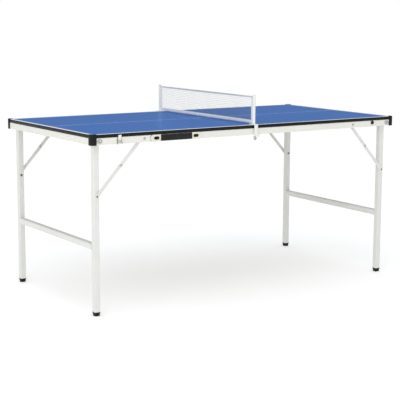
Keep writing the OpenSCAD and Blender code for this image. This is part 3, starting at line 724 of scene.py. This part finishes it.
# %% Leg rivets of the stays
stay_end_r = 7 * MM
dome_r, dome_t, head_t = 5.4, 1.5, 1.2
for side in SIDES:
    inner_ends = []
    for face, sign in FACES.items():
        node_name = f"{side}_{face}_lower_stay"
        low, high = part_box(node_name)
        x = high.x - stay_end_r if side == "right" else low.x + stay_end_r
        z = low.z + stay_end_r
        base = max(abs(low.y), abs(high.y)) / MM - head_t
        profile = [(0.0, base - 0.2), (dome_r, base - 0.2)] + domed_head(base, dome_t, dome_r)
        turned(f"{side}_{face}_leg_rivet", profile, [(Vector((x, 0, z)), (0, sign, 0))],
               nodes[node_name]["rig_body"], "fasteners", finishes["dark_zinc"])
        inner_ends.append((Vector((x, sign * leg_inner * MM, z)), (0, -sign, 0)))
    profile = [(0.0, -0.3), (dome_r, -0.3)] + domed_head(0, dome_t, dome_r)
    turned(f"{side}_inner_rivet_ends", profile, inner_ends, f"{side}_leg_frame", "fasteners",
           finishes["dark_zinc"])

# %% [markdown]
# The strike is a round knob: a flat collar, a soft shoulder and a shallow dish, so it catches a ring of
# light.

# %% Strike knob
low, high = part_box("strike_knob")
knob_r = (high.x - low.x) / 2 / MM
knob_out, knob_in = -low.y / MM, -high.y / MM
knob_neck, knob_cut, knob_round = 4.95, 0.4, 1.4
knob_profile = [(0.0, knob_in), (knob_neck - knob_cut, knob_in), (knob_neck, knob_in + knob_cut),
                (knob_neck, rail_outer), (knob_r - knob_cut, rail_outer), (knob_r, rail_outer + knob_cut)]
knob_profile += arc(knob_r - knob_round, knob_out - knob_round, knob_round, 0, 90)
knob_profile += [(knob_r - 3.2, knob_out - 0.15), (knob_r - 4.2, knob_out - 0.7), (0.0, knob_out - 0.9)]
knob_place = Vector(((low.x + high.x) / 2, 0, (low.z + high.z) / 2))
turned("strike", knob_profile, [(knob_place, (0, -1, 0))], "right_half", "strike_plastic",
       replaces=["strike_knob"], steps=48)

# %% [markdown]
# Screws hold the handle's brackets and the hinge leaves. A pan head is a low dome with a recess: we turn the
# head, and the recess is the dip in the profile. The screws in the brackets are blackened, and each sits at
# the bottom of an oval pocket, on a dark disc that is painted shade for the pocket's recess.

# %% Screws
def pan_screw(tip, seat, top, head_radius, shank_radius):
    """Profile from the screw's tip to its head, all in millimetres along the axis."""
    side = 1 if top > seat else -1
    depth = abs(top - seat)
    return [(0.0, tip), (shank_radius * 0.5, tip + side * 0.5), (shank_radius, tip + side * 1.4),
            (shank_radius, seat), (head_radius - 0.15, seat), (head_radius, seat + side * depth * 0.3),
            (head_radius * 0.86, seat + side * depth * 0.75), (head_radius * 0.5, top),
            (shank_radius * 0.8, top), (shank_radius * 0.65, top - side * depth * 0.5),
            (0.0, top - side * depth * 0.7)]


low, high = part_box("handle_screws")
screw_z = (low.z + high.z) / 2
screw_head_r = (high.z - low.z) / 2 / MM
screw_head_t = 2.0
pocket_floor = -low.y / MM - screw_head_t
screw_profile = pan_screw(-high.y / MM, pocket_floor, -low.y / MM, screw_head_r, 2)
screw_xs = (low.x + screw_head_r * MM, high.x - screw_head_r * MM)
screw_places = [(Vector((x, 0, screw_z)), (0, -1, 0)) for x in screw_xs]
turned("bracket_screws", screw_profile, screw_places, "left_half", "fasteners", finishes["black_screw"],
       ["handle_screws"])

hinge_head_r, hinge_shank_r, leaf_t, apart = 3.0, 1.6, 1.5, 40 * MM
for side in SIDES:
    low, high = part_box(f"hinge_screws_{side}")
    x = (low.x + high.x) / 2
    outer_y = high.y - hinge_head_r * MM
    ys = [s * y for y in (outer_y, outer_y - apart) for s in (-1, 1)]
    leaf_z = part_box(f"{side}_seam_rail")[0].z / MM - leaf_t
    profile = pan_screw(-high.z / MM, -leaf_z, -low.z / MM, hinge_head_r, hinge_shank_r)
    turned(f"{side}_hinge_screws", profile, [(Vector((x, y, 0)), (0, 0, -1)) for y in ys], f"{side}_half",
           "fasteners", replaces=[f"hinge_screws_{side}"], steps=24)

# %% [markdown]
# Two slot-shaped discs finish the fasteners: a dark disc of painted shade on the floor of each bracket's
# pocket, and an oval washer round each leg pivot's head. A round disc that is parted down its middle has
# that outline.

# %% Pocket shade discs and washers
def slot_disc(bm, centre, half, radius, thick):
    """A slot-shaped disc that stands along X and Z. half is how far each half moves from the middle."""
    made = bmesh.ops.create_cone(bm, cap_ends=True, segments=40, radius1=radius, radius2=radius, depth=thick)
    verts = made["verts"]
    for v in verts:
        v.co.x += half if v.co.x > 1e-7 else -half
    rim = list({e for v in verts for e in v.link_edges if abs(e.verts[0].co.z - e.verts[1].co.z) < 1e-7})
    lay = Matrix.Translation(centre) @ Matrix.Rotation(pi / 2, 4, "X")
    bmesh.ops.transform(bm, matrix=lay, verts=verts)
    round_off(bm, rim, thick * 0.3, 2)


# Painted shade: a dark disc on the floor of each bracket's pocket stands for the shade in the recess.
shade_disc_half, shade_disc_r, shade_disc_t = 6.25, 6.15, 0.5
washer_half, washer_r, washer_t = 3.0, 9.2, 0.8
shade_disc_bm = bmesh.new()
for x in screw_xs:
    at = Vector((x, -(pocket_floor + shade_disc_t / 2) * MM, screw_z))
    slot_disc(shade_disc_bm, at, shade_disc_half * MM, shade_disc_r * MM, shade_disc_t * MM)
add_piece("pocket_shade_discs", shade_disc_bm, "left_half", "grip_plastic", finishes["strike_plastic"])

for side in SIDES:
    washer_bm = bmesh.new()
    for place, direction in side_places(f"{side}_pivot_bolts"):
        at = place + Vector(direction) * (rail_outer + washer_t / 2) * MM
        slot_disc(washer_bm, at, washer_half * MM, washer_r * MM, washer_t * MM)
    add_piece(f"{side}_pivot_washers", washer_bm, f"{side}_half", "fasteners")

# %% [markdown]
# The net's posts are drawn tube with a pressed cap. A post is turned: a flared foot on the clamp, a plain
# tube, a rolled groove and a domed cap. The thumb screws of the clamps have a thread, made of one tooth of
# the profile per millimetre, and two softened wings.

# %% Net posts and thumb screws
low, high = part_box("net_posts")
post_y = high.y - high.x
post_r = high.x / MM
tube_r, groove_r = post_r - 0.5, post_r - 0.9
cap_round, cap_t = 2.6, 3.2
foot_z, post_top = low.z / MM, high.z / MM
post_profile = [(0.0, foot_z), (post_r, foot_z), (post_r, foot_z + 0.6), (tube_r, foot_z + 1.4),
                (tube_r, post_top - 9.5), (groove_r, post_top - 9.0), (groove_r, post_top - 8.4),
                (post_r, post_top - 7.9), (post_r, post_top - cap_t)]
post_profile += arc(post_r - cap_round, post_top - cap_t, cap_round, 0, 62)
post_profile += [(post_r * 0.4, post_top - 0.15), (0.0, post_top)]
post_places = [(Vector((0, s * post_y, 0)), (0, 0, 1)) for s in (-1, 1)]
turned("posts", post_profile, post_places, "right_half", "net_steel", replaces=["net_posts"], steps=48)

thread_pitch, thread_depth, tip_l = 1.0, 0.45, 2.0
shank_r, hub_r, hub_h, hub_cut = 3.0, 5.0, 8.0, 0.6
wing_h, wing_foot, wing_t, wing_in = 12.0, 4.0, 3.0, 4.0
wing_mid = (wing_foot + wing_h - 1) / 2
tip_rise, tip_lift, root_drop, wing_round = 1.0, 2.0, 2.2, 1.1
for face in FACES:
    low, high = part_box(f"{face}_clamp_screw")
    centre = Vector(((low.x + high.x) / 2, (low.y + high.y) / 2, 0))
    hub_z, tip_z = low.z / MM, high.z / MM
    neck_z, thread_end = hub_z + hub_h, tip_z - tip_l
    profile = [(0.0, hub_z), (hub_r - hub_cut, hub_z), (hub_r, hub_z + hub_cut), (hub_r, neck_z - hub_cut),
               (hub_r - hub_cut, neck_z), (shank_r, neck_z)]
    for tooth in range(int((thread_end - neck_z) / thread_pitch)):
        base = neck_z + tooth * thread_pitch
        profile += [(shank_r - thread_depth, base + 0.3), (shank_r, base + 0.8)]
    profile += [(shank_r - 1, thread_end), (shank_r - 1, tip_z - 0.3), (shank_r - 1.3, tip_z), (0.0, tip_z)]
    turned(f"{face}_thumb_screw", profile, [(centre, (0, 0, 1))], f"{face}_screw", "fasteners",
           replaces=[f"{face}_clamp_screw"], steps=24)
    wings = bmesh.new()
    reach = (high.x - low.x) / 2
    middle_z = (hub_z + wing_mid) * MM
    for s in (-1, 1):
        made = bmesh.ops.create_cube(wings, size=1)
        size = Matrix.Diagonal((reach - wing_in * MM, wing_t * MM, (wing_h - 1 - wing_foot) * MM, 1))
        across = Vector((s * (reach + wing_in * MM) / 2, 0, middle_z))
        bmesh.ops.transform(wings, matrix=Matrix.Translation(centre + across) @ size, verts=made["verts"])
        for v in made["verts"]:
            is_tip, is_top = abs(v.co.x - centre.x) > reach - 1 * MM, v.co.z > middle_z
            if is_top:
                v.co.z += (tip_rise if is_tip else -root_drop) * MM
            elif is_tip:
                v.co.z += tip_lift * MM
    round_off(wings, wings.edges[:], wing_round * MM, 4)
    add_piece(f"{face}_thumb_wings", wings, f"{face}_screw", "fasteners")

# %% [markdown]
# Where a crossbar meets its leg, and a seam rail its long rail, there is a weld. A bead is a rounded loop
# round the tube's end with a ripple along it, like a row of overlapping drops. The paint covers it, so it
# takes the tube's own finish.

# %% Weld beads
def rounded_loop(width, height, radius, steps=6):
    """Points round a rounded rectangle in the X-Z plane, in metres, evenly spaced enough for a ripple."""
    points = []
    for qx, qz, start in ((1, 1, 0), (-1, 1, 90), (-1, -1, 180), (1, -1, 270)):
        cx, cz = qx * (width / 2 - radius), qz * (height / 2 - radius)
        for i in range(steps + 1):
            t = radians(start + 90 * i / steps)
            points.append(Vector((cx + radius * cos(t), 0, cz + radius * sin(t))))
    dense = []
    for a, b in zip(points, points[1:] + points[:1]):
        cuts = max(1, round((b - a).length / (1.0 * MM)))
        dense += [a.lerp(b, i / cuts) for i in range(cuts)]
    return dense


def weld_bead(bm, centre, width, height, radius, bead_mm, seed):
    """A rippled bead round a tube's end: a small circle at each point of the loop, bridged to the next."""
    loop = rounded_loop(width, height, radius)
    sides = 8
    rings = []
    for i, p in enumerate(loop):
        ahead = (loop[(i + 1) % len(loop)] - loop[i - 1]).normalized()
        outward = ahead.cross(Vector((0, 1, 0))).normalized()
        swell = 1 + 0.16 * sin(i * 2 * pi / 3) + 0.14 * noise.noise(p * 300 + Vector((seed, 0, 0)))
        ring = []
        for k in range(sides):
            t = 2 * pi * k / sides
            spoke = outward * cos(t) + Vector((0, 1, 0)) * sin(t)
            ring.append(bm.verts.new(centre + p + spoke * bead_mm * MM * swell))
        rings.append([bm.edges.new((ring[k - 1], ring[k])) for k in range(sides)])
    for a, b in zip(rings, rings[1:] + rings[:1]):
        bmesh.ops.bridge_loops(bm, edges=a + b)


def centre_of(node_name):
    low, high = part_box(node_name)
    return (low + high) / 2, high - low


weld_sink = 0.4 * MM
# The piece, the bar that it runs round, its body and slot, how much smaller than the bar the loop is in X and
# Z, its corner radius and the bead's radius in millimetres, and the seed of its ripple.
welds = (("crossbar_welds", "crossbar", "leg_frame", "leg_paint", 0, 0, 3, 0.95, 0),
         ("seam_welds", "seam_rail", "half", "rail_paint", 1, 3, 2, 1.0, 7))
for side in SIDES:
    for piece_name, bar, body, slot, less_x, less_z, corner, bead_mm, seed in welds:
        bar_mid, bar_size = centre_of(f"{side}_{bar}")
        loop_w, loop_h = bar_size.x - less_x * MM, bar_size.z - less_z * MM
        bead_bm = bmesh.new()
        for s in (-1, 1):
            end = Vector((bar_mid.x, s * (bar_size.y / 2 - weld_sink), bar_mid.z))
            weld_bead(bead_bm, end, loop_w, loop_h, corner * MM, bead_mm, seed + s)
        add_piece(f"{side}_{piece_name}", bead_bm, f"{side}_{body}", slot, sharp_angle=80)
print("welds: crossbars to legs, seam rails to long rails")

# %% [markdown]
# The net is one knitted sheet. We start from a grid with one face per opening, let the cloth solver settle it
# between its sewn borders so that it hangs with a little slack, and then turn its edges into threads with the
# Wireframe modifier. Its borders are pinned, because the tapes and hems hold them. Most of a net is openings,
# so the sheet declares less than a third of its rectangle as cloth.

# %% Net
net_low, net_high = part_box("net_mesh")
opening = 7.5 * MM
thread = 0.7 * MM
net_w = net_high.y - net_low.y
net_h = net_high.z - net_low.z
columns = round(net_w / opening)
rows = round(net_h / opening)

net_bm = bmesh.new()
bmesh.ops.create_grid(net_bm, x_segments=columns, y_segments=rows, size=0.5)
for v in net_bm.verts:
    across, high_share = v.co.x, v.co.y + 0.5
    v.co = Vector((0, across * net_w, net_low.z + high_share * net_h))
slack = 3.0 * MM
for v in net_bm.verts:
    s = (v.co.y - net_low.y) / net_w
    h = (v.co.z - net_low.z) / net_h
    v.co.x = slack * sin(pi * h) * sin(pi * s) ** 0.5 * (0.6 + 0.4 * sin(9 * s)) if 0 < s < 1 else 0
border = [v.index for v in net_bm.verts if any(len(e.link_faces) == 1 for e in v.link_edges)]
net = add_piece("net", net_bm, "right_half", "net_cloth", finishes["net_thread"], closed=False)


def settle(piece, pinned, frames, most=4 * MM):
    """Runs the cloth solver on a piece with a pinned border, and moves each point by at most that much."""
    group = piece.vertex_groups.new(name="sewn")
    group.add(pinned, 1.0, "REPLACE")
    cloth = piece.modifiers.new("cloth", "CLOTH")
    cloth.settings.quality = 6
    cloth.settings.mass = 0.05
    cloth.settings.tension_stiffness = 40
    cloth.settings.compression_stiffness = 20
    cloth.settings.bending_stiffness = 0.3
    cloth.settings.vertex_group_mass = group.name
    cloth.point_cache.frame_start, cloth.point_cache.frame_end = 1, frames
    before = [v.co.copy() for v in piece.data.vertices]
    for step in range(1, frames + 1):
        scene.frame_set(step)
    settled = piece.evaluated_get(bpy.context.evaluated_depsgraph_get())
    after = [v.co.copy() for v in settled.to_mesh().vertices]
    settled.to_mesh_clear()
    piece.modifiers.remove(cloth)
    piece.vertex_groups.clear()
    scene.frame_set(1)
    farthest = 0
    for v, old, new in zip(piece.data.vertices, before, after):
        move = new - old
        v.co = old + move * min(1, most / max(move.length, 1e-9))
        farthest = max(farthest, move.length)
    return farthest


moved = settle(net, border, 16)
print(f"net settled by up to {moved / MM:.2f} mm")
print("net:", columns, "by", rows, "openings of", round(opening / MM, 1), "mm")
weave = net.modifiers.new("threads", "WIREFRAME")
weave.thickness = thread
weave.use_even_offset = False
weave.use_boundary = True

# %% [markdown]
# The tapes are sewn round the net. The top tape is folded over the cord, so in section it is a drop: round
# above, pinched below. The bottom tape and the hems are flat, doubled cloth. Each is a ring of points that is
# extruded along its length, cut into short pieces and then given the small waves that sewing puts in cloth.

# %% Tapes and hems
def swept_tape(name, outline, start, end, along, cuts, finish, replaces, ripple_mm, seed):
    """A closed outline of (x, other) pairs in metres, swept along Y or Z and given soft waves."""
    bm = bmesh.new()
    axis = 1 if along == "y" else 2
    ring = []
    for a, b in outline:
        co = Vector((a, start, b)) if axis == 1 else Vector((a, b, start))
        ring.append(bm.verts.new(co))
    edges = [bm.edges.new((ring[i - 1], ring[i])) for i in range(len(ring))]
    made = bmesh.ops.extrude_edge_only(bm, edges=edges)
    far = [v for v in made["geom"] if isinstance(v, bmesh.types.BMVert)]
    step = Vector((0, 0, 0))
    step[axis] = end - start
    bmesh.ops.translate(bm, vec=step, verts=far)
    long_edges = [e for e in bm.edges if abs((e.verts[0].co - e.verts[1].co)[axis]) > abs(end - start) / 2]
    bmesh.ops.subdivide_edges(bm, edges=long_edges, cuts=cuts)
    open_edges = [e for e in bm.edges if len(e.link_faces) == 1]
    bmesh.ops.holes_fill(bm, edges=open_edges)
    for v in bm.verts:
        share = (v.co[axis] - start) / (end - start)
        at = v.co[axis]
        wave = noise.noise(Vector((at * 60, seed, 0.3))) + 0.4 * noise.noise(Vector((at * 260, seed, 5)))
        v.co.x += ripple_mm * MM * wave * min(1, 12 * share, 12 * (1 - share))
    return add_piece(name, bm, "right_half", "net_cloth", finish, replaces, sharp_angle=70)


def drop_outline(mid_z, radius, low_z, pinch):
    """Folded tape in section: most of a circle round the cord, then two layers pinched together below it."""
    ring = [(radius * cos(radians(t)), mid_z + radius * sin(radians(t))) for t in range(-20, 201, 20)]
    neck_z = mid_z - radius * 1.3
    return ring + [(-pinch, neck_z), (-pinch, low_z), (pinch, low_z), (pinch, neck_z)]


def flat_outline(half_x, low, high):
    """Doubled flat tape in section, with a rounded fold at the top and bottom."""
    fold = min(half_x, (high - low) / 4)
    part_x, part_fold = half_x * 0.6, fold * 0.3
    return [(-half_x, low + fold), (-part_x, low + part_fold), (0, low), (part_x, low + part_fold),
            (half_x, low + fold), (half_x, high - fold), (part_x, high - part_fold), (0, high),
            (-part_x, high - part_fold), (-half_x, high - fold)]


top_low, top_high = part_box("net_top_tape")
cord_low, cord_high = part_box("net_cord")
cord_z = (cord_low.z + cord_high.z) / 2
bottom_half, hem_half, hem_w = 0.9 * MM, 0.85 * MM, 12 * MM
top_outline = drop_outline(cord_z + 0.4 * MM, 2.3 * MM, top_low.z - 2.4 * MM, 0.75 * MM)
top_tape = swept_tape("top_tape", top_outline, top_low.y, top_high.y, "y", 240, finishes["top_tape_cloth"],
                      ["net_top_tape"], 0.2, 1)
tape_low, tape_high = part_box("net_bottom_tape")
bottom_outline = flat_outline(bottom_half, tape_low.z, tape_high.z)
bottom_tape = swept_tape("bottom_tape", bottom_outline, tape_low.y, tape_high.y, "y", 240,
                         finishes["tape_cloth"], ["net_bottom_tape"], 0.5, 2)
hem_low, hem_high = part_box("net_side_hems")
for face, s in FACES.items():
    inner, outer = sorted((s * (hem_high.y - hem_w), s * hem_high.y))
    replaced = ["net_side_hems"] if face == "front" else []
    swept_tape(f"{face}_hem", flat_outline(hem_half, inner, outer), hem_low.z, hem_high.z, "z",
                           40, finishes["tape_cloth"], replaced, 0.2, 3 + s)
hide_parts("net_mesh")

# %% [markdown]
# Sewing shows as rows of short stitches. One stitch is a thread that rises out of the cloth and dips back, so
# a stretched icosphere, half sunk, is enough. An Array modifier repeats it at the machine's pitch along the
# seam.

# %% Stitches
stitch_pitch = 3.2 * MM
stitch_l = 2.6 * MM
stitch_r = 0.3 * MM


def stitch(bm, centre, axis):
    """One stitch: a small egg of thread along the seam, half sunk in the cloth."""
    made = bmesh.ops.create_icosphere(bm, subdivisions=1, radius=1)
    size = (stitch_r, stitch_l / 2, stitch_r) if axis == "y" else (stitch_r, stitch_r, stitch_l / 2)
    shape = Matrix.Translation(centre) @ Matrix.Diagonal((*size, 1))
    bmesh.ops.transform(bm, matrix=shape, verts=made["verts"])


def stitch_rows(name, starts, axis, length):
    bm = bmesh.new()
    for start in starts:
        stitch(bm, start, axis)
    piece = add_piece(name, bm, "right_half", "net_cloth", finishes["sewing_thread"], sharp_angle=60)
    repeat = piece.modifiers.new("row", "ARRAY")
    repeat.use_relative_offset = False
    repeat.use_constant_offset = True
    repeat.constant_offset_displace = (0, stitch_pitch, 0) if axis == "y" else (0, 0, stitch_pitch)
    repeat.count = int(length / stitch_pitch)
    print(f"{name}: {len(starts)} rows of {repeat.count}")
    return piece


end_gap, inset_outer, inset_inner = 3 * MM, 2.4 * MM, 2.2 * MM
y0 = tape_low.y + end_gap
tape_l = tape_high.y - tape_low.y - 2 * end_gap
bottom_rows = [Vector((s * bottom_half, y0, z)) for s in (-1, 1)
               for z in (tape_high.z - inset_inner, tape_low.z + inset_outer)]
top_rows = [Vector((s * 0.78 * MM, y0, top_low.z - 1.0 * MM)) for s in (-1, 1)]
tape_stitches = stitch_rows("tape_stitches", bottom_rows + top_rows, "y", tape_l)
hem_rows = [Vector((s * hem_half, e * (hem_high.y - inset), hem_low.z + end_gap)) for s in (-1, 1)
            for e in (-1, 1) for inset in (inset_outer, hem_w - inset_inner)]
hem_stitches = stitch_rows("hem_stitches", hem_rows, "z", hem_high.z - hem_low.z - 5 * MM)

# %% [markdown]
# Last, the box of the finished looks is printed. The looks may stand proud of the frame only by a little.

# %% Sizes and finish
low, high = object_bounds()
print("looks' box", [round(v, 4) for v in (*low, *high)])
